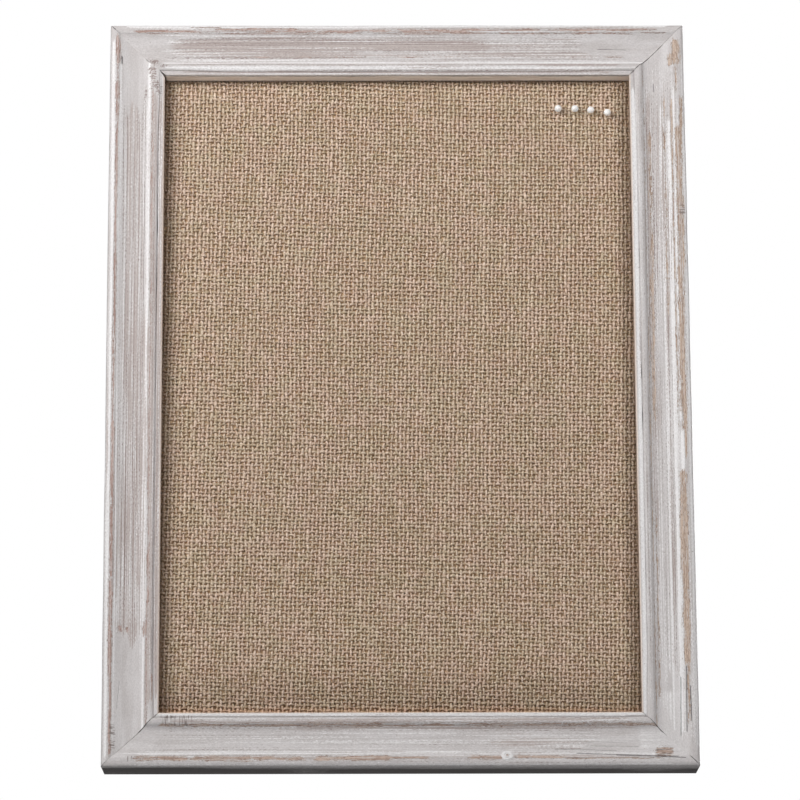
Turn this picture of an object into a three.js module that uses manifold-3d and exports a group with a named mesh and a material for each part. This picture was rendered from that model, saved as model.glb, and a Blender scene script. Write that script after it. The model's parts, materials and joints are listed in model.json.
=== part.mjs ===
// A wall-hung bulletin board: a mitred frame of scoop-and-bead moulding that holds a burlap-covered
// softboard in its rabbet, closed at the back by a hardboard sheet under swivelling turn buttons.
// Four pearl-headed pins sit in the board and pull straight out.
// Millimetres. +X is right as seen from the front, +Z is up and +Y goes into the wall.
// The origin is on the wall, behind the middle notch of the sawtooth hanger.
import * as THREE from "three";
import { mergeVertices } from "three/addons/utils/BufferGeometryUtils.js";
import Module from "manifold-3d";

const wasm = await Module();
wasm.setup();

// Frame, measured over the outer front edge
const BOARD_WIDTH = 330;
const BOARD_HEIGHT = 450;
const RAIL_WIDTH = 31.5;
const RAIL_DEPTH = 19;
const SIDE_TAPER = 1.4;
const MITRE_GAP = 0.2;

// Moulding profile, from the outer edge to the sight edge
const OUTER_EASE = 0.9;
const BAND_WIDTH = 5;
const BAND_EASE = 0.6;
const COVE_DEPTH = 3;
const BEAD_WIDTH = 7.2;
const BEAD_FOOT_DEPTH = 2.7;
const BEAD_TOP_DEPTH = 0.9;
const BEAD_LEAN = 0.5;
const QUIRK_WIDTH = 1;
const QUIRK_DEPTH = 1;
const LIP_WIDTH = 3.1;
const LIP_DEPTH = 1.5;
const LIP_EASE = 0.9;
const RABBET_WIDTH = 6.5;
const CURVE_STEPS = 7;

// Stack held in the rabbet
const CLOTH_THICKNESS = 0.9;
const PANEL_THICKNESS = 5;
const BACKING_THICKNESS = 2;
const STACK_GAP = 0.1;
const EDGE_PLAY = 0.5;
const WRAP_GAP = 0.2;
const HEM_WIDTH = 25;

// V-nails across the back of each mitre
const V_NAIL_LEG = 5;
const V_NAIL_GAUGE = 0.5;
const V_NAIL_LENGTH = 10;
const V_NAIL_PLACES = [8, 16.5];
const V_NAIL_CLEARANCE = 0.15;

// Turn buttons and their screws
const BUTTON_ROOT_RADIUS = 5;
const BUTTON_TIP_RADIUS = 3.6;
const BUTTON_REACH = 11.5;
const BUTTON_GAUGE = 1;
const BUTTON_SETBACK = 7;
const BUTTON_CORNER_DISTANCE = 95;
const SEAT_GAP = 0.25;
const SCREW_LENGTH = 12;
const SCREW_SHANK_RADIUS = 1.4;
const SCREW_HEAD_RADIUS = 2.9;
const SCREW_HEAD_HEIGHT = 1.5;
const SCREW_POINT_LENGTH = 3;
const SCREW_CLEARANCE = 0.25;
const SCREW_RECESS_SPAN = 3.4;
const SCREW_RECESS_WIDTH = 0.8;
const SCREW_RECESS_DEPTH = 0.8;

// Sawtooth hanger and its nails
const HANGER_DROP = 14;
const HANGER_LENGTH = 46;
const HANGER_HEIGHT = 9;
const HANGER_GAUGE = 0.9;
const HANGER_BOW = 1.4;
const HANGER_FOOT = 8;
const HANGER_RAMP = 3;
const TOOTH_PITCH = 2.4;
const TOOTH_DEPTH = 1.5;
const TOOTH_TIP = 0.3;
const TOOTH_COUNT = 9;
const HANGER_NAIL_LENGTH = 10;
const HANGER_NAIL_RADIUS = 0.7;
const HANGER_NAIL_POINT_LENGTH = 1.5;
const HANGER_NAIL_HEAD_RADIUS = 1.7;
const HANGER_NAIL_HEAD_HEIGHT = 0.6;
const HANGER_NAIL_CLEARANCE = 0.1;

// Wall bumpers
const BUMPER_RADIUS = 5;
const BUMPER_THICKNESS = 3.4;
const BUMPER_DRAFT = 0.8;
const BUMPER_CORNER_DISTANCE = 42;
const BUMPER_RISE = 13;
const GLUE_LINE = 0.05;

// Pearl-headed pins, placed from the sight edges at the upper right
const PIN_HEAD_RADIUS = 2.1;
const PIN_HEAD_STEPS = 9;
const PIN_NEEDLE_RADIUS = 0.35;
const PIN_POINT_LENGTH = 1.6;
const PIN_TIP_COVER = 0.5;
const PIN_SOCKET_DEPTH = 2.4;
const PIN_CLEARANCE = 0.1;
const PIN_HOLE_CLEARANCE = 0.2;
const PIN_STAND_OFF = 0.3;
const PIN_INSETS = [41, 31.3, 22.2, 12.7];
const PIN_DROPS = [18.6, 18.6, 19.4, 21];

// How far a cutter runs past the face that it cuts
const CUT_OVERRUN = 1;

// Facets of the rounded shapes
const PLATE_CURVE_STEPS = 10;
const HOLE_SIDES = 12;
const NAIL_SIDES = 12;
const NAIL_DOME_STEPS = 4;
const BUMPER_SIDES = 24;
const NEEDLE_SIDES = 10;
const PIN_HEAD_SIDES = 16;
const WELD_DISTANCE = 1e-4;

// Places that follow from the sizes above
const WRAP = CLOTH_THICKNESS + WRAP_GAP;
const COVER_DEPTH = PANEL_THICKNESS + 2 * WRAP;
const RABBET_DEPTH = COVER_DEPTH + BACKING_THICKNESS + 3 * STACK_GAP;
const RABBET_WALL = RAIL_WIDTH - RABBET_WIDTH;
const BACK_Y = -BUMPER_THICKNESS;
const LEDGE_Y = BACK_Y - RABBET_DEPTH;
const CENTRE_Z = HANGER_DROP - BOARD_HEIGHT / 2;
const COVER_WIDTH = BOARD_WIDTH - 2 * (RABBET_WALL + EDGE_PLAY);
const COVER_HEIGHT = BOARD_HEIGHT - 2 * (RABBET_WALL + EDGE_PLAY);
const COVER_Y = LEDGE_Y + STACK_GAP;
const SIGHT_HALF_WIDTH = BOARD_WIDTH / 2 - RAIL_WIDTH;
const SIGHT_TOP_Z = HANGER_DROP - RAIL_WIDTH;
const SCREW_HEAD_Y = BACK_Y + 2 * SEAT_GAP + BUTTON_GAUGE;
const HANGER_NAIL_X = HANGER_LENGTH / 2 - HANGER_FOOT / 2;
const HANGER_NAIL_Z = HANGER_HEIGHT / 2 - TOOTH_DEPTH;
const HANGER_NAIL_HEAD_Y = BACK_Y + HANGER_GAUGE + 2 * GLUE_LINE;

const paintedWood = new THREE.MeshStandardMaterial({ color: 0xc9c3bf, roughness: 0.7, metalness: 0 });
const burlap = new THREE.MeshStandardMaterial({ color: 0xa88c6c, roughness: 0.95, metalness: 0 });
const softboard = new THREE.MeshStandardMaterial({ color: 0xb59a74, roughness: 0.95, metalness: 0 });
const hardboard = new THREE.MeshStandardMaterial({ color: 0x6d4a2f, roughness: 0.75, metalness: 0 });
const steel = new THREE.MeshStandardMaterial({ color: 0xb4b6b8, roughness: 0.35, metalness: 1 });
const brassPlate = new THREE.MeshStandardMaterial({ color: 0xb59a58, roughness: 0.35, metalness: 1 });
const rubber = new THREE.MeshStandardMaterial({ color: 0x2b2a29, roughness: 0.85, metalness: 0 });
const pearl = new THREE.MeshStandardMaterial({ color: 0xefece6, roughness: 0.25, metalness: 0 });

// A closed geometry as a solid that can be cut
function solidOf(geometry) {
  const bare = geometry.clone();
  bare.deleteAttribute("normal");
  bare.deleteAttribute("uv");
  const merged = mergeVertices(bare, WELD_DISTANCE);
  return new wasm.Manifold(
    new wasm.Mesh({
      numProp: 3,
      vertProperties: new Float32Array(merged.attributes.position.array),
      triVerts: new Uint32Array(merged.index.array),
    }),
  );
}

function geometryOf(solid) {
  const mesh = solid.getMesh();
  const geometry = new THREE.BufferGeometry();
  geometry.setAttribute("position", new THREE.BufferAttribute(mesh.vertProperties, 3));
  geometry.setIndex(new THREE.BufferAttribute(mesh.triVerts, 1));
  const faceted = geometry.toNonIndexed();
  faceted.computeVertexNormals();
  return faceted;
}

function cut(geometry, tools) {
  return geometryOf(tools.reduce((solid, tool) => solid.subtract(solidOf(tool)), solidOf(geometry)));
}

function piece(name, geometry, material) {
  const mesh = new THREE.Mesh(geometry, material);
  mesh.name = name;
  return mesh;
}

// A plate whose outline lies in X and Z and whose back face is at y
function plate(outline, thickness, y) {
  const options = { depth: thickness, bevelEnabled: false, curveSegments: PLATE_CURVE_STEPS };
  return new THREE.ExtrudeGeometry(outline, options).rotateX(Math.PI / 2).translate(0, y, 0);
}

function rectangle(width, height) {
  const outline = new THREE.Shape();
  outline.moveTo(-width / 2, -height / 2);
  outline.lineTo(width / 2, -height / 2);
  outline.lineTo(width / 2, height / 2);
  outline.lineTo(-width / 2, height / 2);
  outline.closePath();
  return outline;
}

// A turned piece about the Y axis, from [radius, y] points that start and end on it
function turned(profile, sides) {
  const points = profile.map(([radius, y]) => new THREE.Vector2(radius, y));
  return new THREE.LatheGeometry(points, sides);
}

// A round cutter along Y, from one y to another
function drill(radius, fromY, toY, x, z) {
  const cutter = new THREE.CylinderGeometry(radius, radius, toY - fromY, HOLE_SIDES);
  return cutter.translate(x, (fromY + toY) / 2, z);
}

// Points over a domed head, from its rim to the middle of its top
function dome(radius, height, steps) {
  const points = [];
  for (let i = 0; i <= steps; i += 1) {
    const angle = (i / steps) * (Math.PI / 2);
    points.push([i === steps ? 0 : radius * Math.cos(angle), height * Math.sin(angle)]);
  }
  return points;
}

// A pointed shank with a domed head, the underside of its head at y = 0
function headedNail(length, radius, pointLength, headRadius, headHeight) {
  const shank = [
    [0, -length],
    [radius, pointLength - length],
    [radius, 0],
  ];
  return turned([...shank, ...dome(headRadius, headHeight, NAIL_DOME_STEPS)], NAIL_SIDES);
}

// The moulding's section: x runs from the outer edge in to the sight edge, y from the front to the back
function mouldingSection() {
  const lipStart = RAIL_WIDTH - LIP_WIDTH;
  const quirkStart = lipStart - QUIRK_WIDTH;
  const beadStart = lipStart - BEAD_WIDTH;
  const beadTop = (beadStart + quirkStart) / 2;
  const coveStart = BAND_WIDTH + BAND_EASE;
  const coveMiddle = (coveStart + beadStart) / 2;
  const coveControlDepth = 2 * COVE_DEPTH - (BAND_EASE + BEAD_FOOT_DEPTH) / 2;
  const section = new THREE.Shape();
  section.moveTo(0, OUTER_EASE);
  section.quadraticCurveTo(0, 0, OUTER_EASE, 0);
  section.lineTo(BAND_WIDTH - BAND_EASE, 0);
  section.quadraticCurveTo(BAND_WIDTH, 0, coveStart, BAND_EASE);
  section.quadraticCurveTo(coveMiddle, coveControlDepth, beadStart, BEAD_FOOT_DEPTH);
  section.quadraticCurveTo(beadStart + BEAD_LEAN, BEAD_TOP_DEPTH, beadTop, BEAD_TOP_DEPTH);
  section.quadraticCurveTo(quirkStart, BEAD_TOP_DEPTH, quirkStart, LIP_DEPTH);
  section.lineTo(quirkStart + QUIRK_WIDTH / 2, LIP_DEPTH + QUIRK_DEPTH);
  section.lineTo(lipStart, LIP_DEPTH);
  section.lineTo(RAIL_WIDTH - LIP_EASE, LIP_DEPTH);
  section.quadraticCurveTo(RAIL_WIDTH, LIP_DEPTH, RAIL_WIDTH, LIP_DEPTH + LIP_EASE);
  section.lineTo(RAIL_WIDTH, RAIL_DEPTH - RABBET_DEPTH);
  section.lineTo(RABBET_WALL, RAIL_DEPTH - RABBET_DEPTH);
  section.lineTo(RABBET_WALL, RAIL_DEPTH);
  section.lineTo(SIDE_TAPER, RAIL_DEPTH);
  section.closePath();
  return section;
}

// A rail along X with its outer edge up, both ends mitred at 45 degrees
function mitredRail(length, outerEdge) {
  const options = { depth: length, bevelEnabled: false, curveSegments: CURVE_STEPS };
  const rail = new THREE.ExtrudeGeometry(mouldingSection(), options);
  const position = rail.attributes.position;
  const setBack = MITRE_GAP / Math.SQRT2;
  for (let i = 0; i < position.count; i += 1) {
    const cutBack = position.getX(i) + setBack;
    position.setZ(i, position.getZ(i) > length / 2 ? length - cutBack : cutBack);
  }
  rail.translate(0, 0, -length / 2).rotateY(Math.PI / 2);
  return rail.translate(0, BACK_Y - RAIL_DEPTH, outerEdge);
}

// An upper right V-nail, its outer corner at the origin and a leg along each rail
function vNail(grow, length) {
  const inner = -V_NAIL_GAUGE - grow;
  const end = -V_NAIL_LEG - grow;
  const outline = new THREE.Shape();
  outline.moveTo(grow, grow);
  outline.lineTo(end, grow);
  outline.lineTo(end, inner);
  outline.lineTo(inner, inner);
  outline.lineTo(inner, end);
  outline.lineTo(grow, end);
  outline.closePath();
  return plate(outline, length, BACK_Y);
}

// The slots for the V-nails at both ends of a rail
function vNailSlots(length, outerEdge) {
  const slots = [];
  for (const place of V_NAIL_PLACES) {
    const slot = vNail(V_NAIL_CLEARANCE, V_NAIL_LENGTH + V_NAIL_CLEARANCE);
    const seat = [length / 2 - place, 0, outerEdge - place];
    slots.push(slot.clone().translate(...seat));
    slots.push(slot.clone().rotateY(-Math.PI / 2).translate(-seat[0], 0, seat[2]));
  }
  return slots;
}

function turnButton() {
  const lean = Math.asin((BUTTON_ROOT_RADIUS - BUTTON_TIP_RADIUS) / BUTTON_REACH);
  const outline = new THREE.Shape();
  outline.absarc(0, 0, BUTTON_ROOT_RADIUS, -lean, Math.PI + lean, false);
  outline.absarc(0, -BUTTON_REACH, BUTTON_TIP_RADIUS, Math.PI + lean, 2 * Math.PI - lean, false);
  outline.closePath();
  const hole = new THREE.Path();
  hole.absarc(0, 0, SCREW_SHANK_RADIUS + SCREW_CLEARANCE, 0, 2 * Math.PI, true);
  outline.holes.push(hole);
  return plate(outline, BUTTON_GAUGE, SEAT_GAP + BUTTON_GAUGE);
}

// One side of the frame, drawn as the top rail and turned into place, with its buttons and screws
function frameSide(side, railName, length, outerEdge, angle, moreCuts = []) {
  const group = new THREE.Group();
  const buttonZ = outerEdge - RABBET_WALL + BUTTON_SETBACK;
  const buttonX = length / 2 - BUTTON_CORNER_DISTANCE;
  const holeRadius = SCREW_SHANK_RADIUS + SCREW_CLEARANCE;
  const holeEnd = SCREW_HEAD_Y - SCREW_LENGTH - SCREW_CLEARANCE;
  const cuts = [...vNailSlots(length, outerEdge), ...moreCuts];
  for (const [index, x] of [-buttonX, buttonX].entries()) {
    const button = piece(`turn_button_${side}_${index + 1}`, turnButton(), brassPlate);
    button.position.set(x, BACK_Y, buttonZ);
    const screw = piece(`turn_screw_${side}_${index + 1}`, turnScrew(), steel);
    screw.position.set(x, SCREW_HEAD_Y, buttonZ);
    group.add(button, screw);
    cuts.push(drill(holeRadius, holeEnd, BACK_Y + CUT_OVERRUN, x, buttonZ));
  }
  group.add(piece(railName, cut(mitredRail(length, outerEdge), cuts), paintedWood));
  group.rotation.y = angle;
  return group;
}

// A dome-headed screw with a cross recess, the underside of its head at y = 0
function turnScrew() {
  const head = [SCREW_HEAD_RADIUS, SCREW_HEAD_HEIGHT];
  const screw = headedNail(SCREW_LENGTH, SCREW_SHANK_RADIUS, SCREW_POINT_LENGTH, ...head);
  const slotDepth = SCREW_RECESS_DEPTH + CUT_OVERRUN;
  const slotY = SCREW_HEAD_HEIGHT - SCREW_RECESS_DEPTH + slotDepth / 2;
  const slot = new THREE.BoxGeometry(SCREW_RECESS_SPAN, slotDepth, SCREW_RECESS_WIDTH);
  slot.translate(0, slotY, 0);
  return cut(screw, [slot, slot.clone().rotateY(Math.PI / 2)]);
}

function hangerNail() {
  const head = [HANGER_NAIL_HEAD_RADIUS, HANGER_NAIL_HEAD_HEIGHT];
  return headedNail(HANGER_NAIL_LENGTH, HANGER_NAIL_RADIUS, HANGER_NAIL_POINT_LENGTH, ...head);
}

// The two nail holes of the hanger, between two depths, with its middle notch at a height
function hangerNailHoles(fromY, toY, notchZ) {
  const radius = HANGER_NAIL_RADIUS + HANGER_NAIL_CLEARANCE;
  return [-1, 1].map((sign) => drill(radius, fromY, toY, sign * HANGER_NAIL_X, notchZ + HANGER_NAIL_Z));
}

// The hanger's strip is bowed off the wood between two flat feet, with teeth along its lower edge
function sawtoothHanger() {
  const half = HANGER_LENGTH / 2;
  const foot = half - HANGER_FOOT;
  const raised = foot - HANGER_RAMP;
  const strip = new THREE.Shape();
  strip.moveTo(-half, 0);
  strip.lineTo(-foot, 0);
  strip.lineTo(-raised, HANGER_BOW);
  strip.lineTo(raised, HANGER_BOW);
  strip.lineTo(foot, 0);
  strip.lineTo(half, 0);
  strip.lineTo(half, HANGER_GAUGE);
  strip.lineTo(foot, HANGER_GAUGE);
  strip.lineTo(raised, HANGER_BOW + HANGER_GAUGE);
  strip.lineTo(-raised, HANGER_BOW + HANGER_GAUGE);
  strip.lineTo(-foot, HANGER_GAUGE);
  strip.lineTo(-half, HANGER_GAUGE);
  strip.closePath();
  const options = { depth: HANGER_HEIGHT, bevelEnabled: false };
  const body = new THREE.ExtrudeGeometry(strip, options);
  body.translate(0, BACK_Y + GLUE_LINE, -TOOTH_DEPTH);
  const stripDepth = HANGER_BOW + HANGER_GAUGE;
  const outsideY = BACK_Y + stripDepth + CUT_OVERRUN;
  const notchHalf = (TOOTH_PITCH - TOOTH_TIP) / 2;
  const notch = new THREE.Shape();
  notch.moveTo(0, 0);
  notch.lineTo(-notchHalf, -TOOTH_DEPTH);
  notch.lineTo(-notchHalf, -TOOTH_DEPTH - CUT_OVERRUN);
  notch.lineTo(notchHalf, -TOOTH_DEPTH - CUT_OVERRUN);
  notch.lineTo(notchHalf, -TOOTH_DEPTH);
  notch.closePath();
  const cuts = hangerNailHoles(BACK_Y - CUT_OVERRUN, outsideY, 0);
  for (let tooth = 0; tooth < TOOTH_COUNT; tooth += 1) {
    const x = (tooth - (TOOTH_COUNT - 1) / 2) * TOOTH_PITCH;
    cuts.push(plate(notch, stripDepth + 2 * CUT_OVERRUN, outsideY).translate(x, 0, 0));
  }
  return cut(body, cuts);
}

// A drafted rubber foot whose flat end meets the wall at y = 0
function wallBumper() {
  const profile = [
    [0, BACK_Y + GLUE_LINE],
    [BUMPER_RADIUS, BACK_Y + GLUE_LINE],
    [BUMPER_RADIUS - BUMPER_DRAFT, 0],
    [0, 0],
  ];
  return turned(profile, BUMPER_SIDES);
}

function pinPlaces() {
  return PIN_INSETS.map((inset, index) => [SIGHT_HALF_WIDTH - inset, SIGHT_TOP_Z - PIN_DROPS[index]]);
}

function pinHoles() {
  const radius = PIN_NEEDLE_RADIUS + PIN_HOLE_CLEARANCE;
  const panelBack = COVER_Y + WRAP + PANEL_THICKNESS;
  return pinPlaces().map(([x, z]) => drill(radius, COVER_Y - CUT_OVERRUN, panelBack + WRAP_GAP / 2, x, z));
}

// The cloth: a front, four turned edges and a hem at the back, as one skin round the panel
function burlapCover() {
  const front = plate(rectangle(COVER_WIDTH, COVER_HEIGHT), COVER_DEPTH, COVER_Y + COVER_DEPTH);
  const pocketOutline = rectangle(COVER_WIDTH - 2 * CLOTH_THICKNESS, COVER_HEIGHT - 2 * CLOTH_THICKNESS);
  const pocketDepth = COVER_DEPTH - 2 * CLOTH_THICKNESS;
  const pocket = plate(pocketOutline, pocketDepth, COVER_Y + CLOTH_THICKNESS + pocketDepth);
  const windowOutline = rectangle(COVER_WIDTH - 2 * HEM_WIDTH, COVER_HEIGHT - 2 * HEM_WIDTH);
  const windowDepth = COVER_DEPTH - CLOTH_THICKNESS;
  const backWindow = plate(windowOutline, windowDepth, COVER_Y + COVER_DEPTH + CUT_OVERRUN);
  const inPlace = [front, pocket, backWindow].map((solid) => solid.translate(0, 0, CENTRE_Z));
  return cut(inPlace[0], [inPlace[1], inPlace[2], ...pinHoles()]);
}

function pinPanel() {
  const outline = rectangle(COVER_WIDTH - 2 * WRAP, COVER_HEIGHT - 2 * WRAP);
  const panel = plate(outline, PANEL_THICKNESS, COVER_Y + WRAP + PANEL_THICKNESS);
  return cut(panel.translate(0, 0, CENTRE_Z), pinHoles());
}

function backingBoard() {
  const front = COVER_Y + COVER_DEPTH + STACK_GAP;
  const board = plate(rectangle(COVER_WIDTH, COVER_HEIGHT), BACKING_THICKNESS, front + BACKING_THICKNESS);
  return board.translate(0, 0, CENTRE_Z);
}

// A needle along Y, its point at the back, measured from the back of its pearl at y = 0
function pinNeedle() {
  const grip = PIN_STAND_OFF + WRAP + PANEL_THICKNESS - PIN_TIP_COVER;
  const top = -PIN_SOCKET_DEPTH + PIN_CLEARANCE;
  const profile = [
    [0, top],
    [PIN_NEEDLE_RADIUS, top],
    [PIN_NEEDLE_RADIUS, grip - PIN_POINT_LENGTH],
    [0, grip],
  ];
  return turned(profile, NEEDLE_SIDES);
}

// A pearl with a blind socket for the needle, its back at y = 0
function pinHead() {
  const socket = PIN_NEEDLE_RADIUS + PIN_CLEARANCE;
  const start = Math.asin(socket / PIN_HEAD_RADIUS);
  const profile = [];
  for (let i = 0; i <= PIN_HEAD_STEPS; i += 1) {
    const angle = Math.PI - (i / PIN_HEAD_STEPS) * (Math.PI - start);
    const radius = i === 0 ? 0 : PIN_HEAD_RADIUS * Math.sin(angle);
    profile.push([radius, PIN_HEAD_RADIUS * (Math.cos(angle) - 1)]);
  }
  profile.push([socket, -PIN_SOCKET_DEPTH], [0, -PIN_SOCKET_DEPTH]);
  return turned(profile, PIN_HEAD_SIDES);
}

const board = new THREE.Group();

const frame = new THREE.Group();
const nailHoleEnd = HANGER_NAIL_HEAD_Y - HANGER_NAIL_LENGTH - HANGER_NAIL_CLEARANCE;
const topCuts = hangerNailHoles(nailHoleEnd, BACK_Y + CUT_OVERRUN, BOARD_HEIGHT / 2 - HANGER_DROP);
frame.add(frameSide("top", "top_rail", BOARD_WIDTH, BOARD_HEIGHT / 2, 0, topCuts));
frame.add(frameSide("right", "right_stile", BOARD_HEIGHT, BOARD_WIDTH / 2, Math.PI / 2));
frame.add(frameSide("bottom", "bottom_rail", BOARD_WIDTH, BOARD_HEIGHT / 2, Math.PI));
frame.add(frameSide("left", "left_stile", BOARD_HEIGHT, BOARD_WIDTH / 2, -Math.PI / 2));
frame.position.z = CENTRE_Z;
board.add(frame);

const corners = [
  ["top_right", 1, 1, 0],
  ["bottom_right", 1, -1, Math.PI / 2],
  ["bottom_left", -1, -1, Math.PI],
  ["top_left", -1, 1, -Math.PI / 2],
];
for (const [name, signX, signZ, angle] of corners) {
  for (const [index, place] of V_NAIL_PLACES.entries()) {
    const nail = piece(`v_nail_${name}_${index + 1}`, vNail(0, V_NAIL_LENGTH), steel);
    nail.rotation.y = angle;
    nail.position.x = signX * (BOARD_WIDTH / 2 - place);
    nail.position.z = CENTRE_Z + signZ * (BOARD_HEIGHT / 2 - place);
    board.add(nail);
  }
}

board.add(piece("burlap_cover", burlapCover(), burlap));
board.add(piece("pin_panel", pinPanel(), softboard));
board.add(piece("backing_board", backingBoard(), hardboard));
board.add(piece("sawtooth_hanger", sawtoothHanger(), brassPlate));

for (const [side, sign] of [["left", -1], ["right", 1]]) {
  const nail = piece(`hanger_nail_${side}`, hangerNail(), steel);
  nail.position.set(sign * HANGER_NAIL_X, HANGER_NAIL_HEAD_Y, HANGER_NAIL_Z);
  const bumper = piece(`wall_bumper_${side}`, wallBumper(), rubber);
  bumper.position.x = sign * (BOARD_WIDTH / 2 - BUMPER_CORNER_DISTANCE);
  bumper.position.z = HANGER_DROP - BOARD_HEIGHT + BUMPER_RISE;
  board.add(nail, bumper);
}

for (const [index, [x, z]] of pinPlaces().entries()) {
  const pin = new THREE.Group();
  pin.add(piece(`pin_needle_${index + 1}`, pinNeedle(), steel));
  pin.add(piece(`pin_head_${index + 1}`, pinHead(), pearl));
  pin.position.set(x, COVER_Y - PIN_STAND_OFF, z);
  board.add(pin);
}

export default board;
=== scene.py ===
"""Looks of a wall-hung bulletin board: woven burlap, whitewashed and rubbed moulding, pearl pins."""

import json
import math
from types import SimpleNamespace

import bmesh
import bpy
import numpy as np
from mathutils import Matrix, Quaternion, Vector

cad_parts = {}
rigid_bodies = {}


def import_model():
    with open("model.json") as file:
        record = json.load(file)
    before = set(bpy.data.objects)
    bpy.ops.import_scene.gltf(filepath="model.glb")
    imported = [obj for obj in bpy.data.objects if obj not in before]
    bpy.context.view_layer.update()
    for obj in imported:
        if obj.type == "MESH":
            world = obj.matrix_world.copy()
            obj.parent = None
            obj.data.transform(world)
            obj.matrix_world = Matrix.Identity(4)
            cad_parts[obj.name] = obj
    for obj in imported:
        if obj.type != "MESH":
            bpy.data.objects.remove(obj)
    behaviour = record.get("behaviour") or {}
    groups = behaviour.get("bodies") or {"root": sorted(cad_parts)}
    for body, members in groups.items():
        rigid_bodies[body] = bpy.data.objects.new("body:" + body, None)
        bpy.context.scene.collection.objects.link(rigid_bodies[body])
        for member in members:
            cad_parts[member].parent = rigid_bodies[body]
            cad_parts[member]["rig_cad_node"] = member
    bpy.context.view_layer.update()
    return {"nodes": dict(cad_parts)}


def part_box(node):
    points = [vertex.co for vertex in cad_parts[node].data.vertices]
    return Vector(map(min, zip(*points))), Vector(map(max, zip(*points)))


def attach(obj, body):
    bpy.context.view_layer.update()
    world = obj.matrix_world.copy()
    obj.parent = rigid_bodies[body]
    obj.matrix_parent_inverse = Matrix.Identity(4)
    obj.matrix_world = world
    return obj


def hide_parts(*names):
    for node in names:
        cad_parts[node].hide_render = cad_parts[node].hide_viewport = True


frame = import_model()
scene = bpy.context.scene
scene.view_settings.view_transform = "Standard"

MM = 0.001

# Places taken from the frame, in millimetres
HALF_WIDTH = round(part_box("right_stile")[1].x / MM, 2)
BOARD_TOP = round(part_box("top_rail")[1].z / MM, 2)
BOARD_BOTTOM = round(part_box("bottom_rail")[0].z / MM, 2)
BOARD_HEIGHT = BOARD_TOP - BOARD_BOTTOM
CENTRE_Z = (BOARD_TOP + BOARD_BOTTOM) / 2
FRONT_Y = round(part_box("left_stile")[0].y / MM, 2)
BACK_Y = round(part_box("right_stile")[1].y / MM, 2)
COVER_LOW, COVER_HIGH = (np.array(corner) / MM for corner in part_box("burlap_cover"))
COVER_SIZE = COVER_HIGH - COVER_LOW
PANEL_LOW, PANEL_HIGH = (np.array(corner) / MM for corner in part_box("pin_panel"))
PINS = [np.array(sum(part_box(f"pin_needle_{n}"), Vector()) / 2 / MM) for n in range(1, 5)]

# Moulding, across from the outer edge and down from the front
RAIL_WIDTH = 31.5
RAIL_DEPTH = BACK_Y - FRONT_Y
OUTER_ROUND = 2.0
QUIRK = 28.7
LIP_GROOVE = 2.9
GROOVE_WALL = 31.1
RABBET_WALL = 25
LEDGE_DEPTH = 9.5
BACK_GAP = 0.04
SHOWN_DEPTH = 9
STATION_PITCH = 0.9
SHARP_ANGLE = math.radians(38)
INTO_WALL = np.array([0, 1, 0])

# The opening inside the moulding
SIGHT_X = HALF_WIDTH - RAIL_WIDTH
SIGHT_Z = BOARD_HEIGHT / 2 - RAIL_WIDTH

# Cells of a noise lattice along each side, before it repeats
LATTICE = 256


def smoothstep(low, high, value):
    t = np.clip((value - low) / (high - low), 0, 1)
    return t * t * (3 - 2 * t)


def window(value, start, end, fade):
    """1 between start and end, rising and falling over twice the fade."""
    return smoothstep(start - fade, start + fade, value) * (1 - smoothstep(end - fade, end + fade, value))


def bell(value, middle, half):
    """1 at the middle, falling away over about two half widths."""
    return np.exp(-(((value - middle) / half) ** 2))


def value_noise(u, v, cell_u, cell_v, seed):
    """Smooth noise from 0 to 1 on a lattice of cells fixed in place."""
    x, y = u / cell_u, v / cell_v
    i, j = np.floor(x).astype(int), np.floor(y).astype(int)
    fx, fy = smoothstep(0, 1, x - i), smoothstep(0, 1, y - j)
    lattice = np.random.default_rng(seed).random((LATTICE, LATTICE))
    i, j, i_next, j_next = i % LATTICE, j % LATTICE, (i + 1) % LATTICE, (j + 1) % LATTICE
    near = lattice[i, j] * (1 - fx) + lattice[i_next, j] * fx
    far = lattice[i, j_next] * (1 - fx) + lattice[i_next, j_next] * fx
    return near * (1 - fy) + far * fy


def channels(*values):
    """Values side by side, one row for each point."""
    return np.stack(np.broadcast_arrays(*values), -1).reshape(-1, len(values))


def tube_walls(index):
    """Quads between neighbouring rings of points; the last axis runs round a ring."""
    a, b = index[..., :-1, :], index[..., 1:, :]
    return channels(a, np.roll(a, -1, -1), np.roll(b, -1, -1), b)


def add_object(name, data):
    made = bpy.data.objects.new(name, data)
    scene.collection.objects.link(made)
    return made


def quad_piece(name, points, quads, vectors, uv):
    """A smooth mesh of quads, with named vector attributes on its points and a map for baking."""
    mesh = bpy.data.meshes.new(name)
    mesh.vertices.add(len(points))
    mesh.vertices.foreach_set("co", np.asarray(points * MM, np.float32).ravel())
    mesh.loops.add(quads.size)
    mesh.loops.foreach_set("vertex_index", quads.astype(np.int32).ravel())
    mesh.polygons.add(len(quads))
    mesh.polygons.foreach_set("loop_start", np.arange(0, quads.size, 4, dtype=np.int32))
    mesh.update(calc_edges=True)
    mesh.polygons.foreach_set("use_smooth", np.ones(len(quads), bool))
    for key, values in vectors.items():
        layer = mesh.attributes.new(key, "FLOAT_VECTOR", "POINT")
        layer.data.foreach_set("vector", np.asarray(values, np.float32).ravel())
    layer = mesh.uv_layers.new(name="OFBake")
    layer.data.foreach_set("uv", np.asarray(uv, np.float32).ravel())
    return add_object(name, mesh)


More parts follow.
